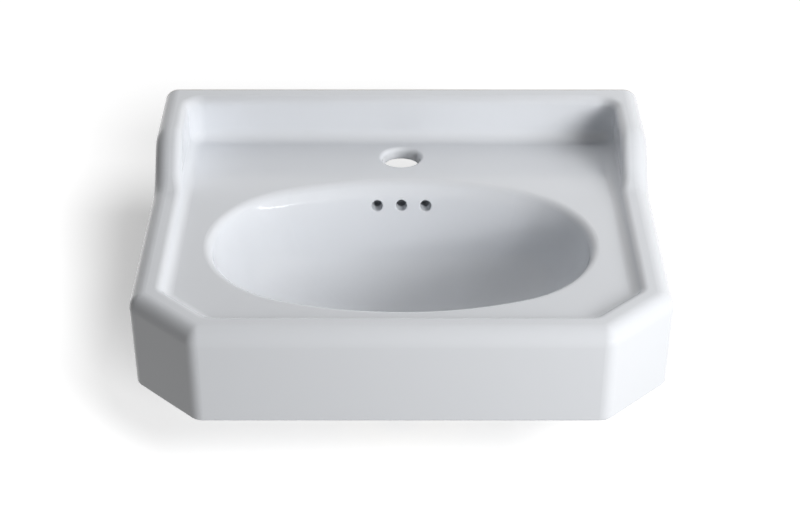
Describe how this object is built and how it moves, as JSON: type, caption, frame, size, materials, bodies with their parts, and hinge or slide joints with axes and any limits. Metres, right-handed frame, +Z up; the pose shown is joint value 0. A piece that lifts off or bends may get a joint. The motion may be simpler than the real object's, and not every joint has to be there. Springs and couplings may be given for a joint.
{
  "type": "wall-hung washbasin",
  "caption": "Wall-hung ceramic washbasin with cut front corners, raised rim, S-curved wings on an upstand, oval bowl with overflow, tap hole and a push-plug waste.",
  "frame": {"origin": "on the wall plane, midway between the two wall fixing holes", "axes": "+X along the wall to the right of someone facing the basin, +Y into the wall, +Z up"},
  "size_m": [0.451, 0.368, 0.223],
  "materials": {
    "glaze": "white glaze",
    "waste_chrome": "polished",
    "plug_chrome": "polished",
    "seal_rubber": "matt",
    "washer_plastic": "moulded",
    "nut_brass": "machined",
    "stem_brass": "machined",
    "latch_plastic": "moulded",
    "spring_steel": "drawn wire",
    "screw_steel": "turned"
  },
  "bodies": {
    "basin": {"ceramic_basin": "glaze", "waste_body": "waste_chrome", "flange_seal": "seal_rubber", "tapered_seal": "seal_rubber", "slip_washer": "washer_plastic", "backnut": "nut_brass", "latch_core": "latch_plastic", "latch_spring": "spring_steel", "latch_screw": "screw_steel"},
    "plug": {"plug_cap": "plug_chrome", "plug_seal": "seal_rubber", "plug_stem": "stem_brass", "latch_sleeve": "latch_plastic", "latch_pin": "spring_steel"}
  },
  "joints": [
    {"name": "plug_slide", "type": "slide", "parent": "basin", "child": "plug", "axis": [0, 0, 1], "range_m": [-0.009, 0], "deforming": ["latch_spring"]}
  ]
}
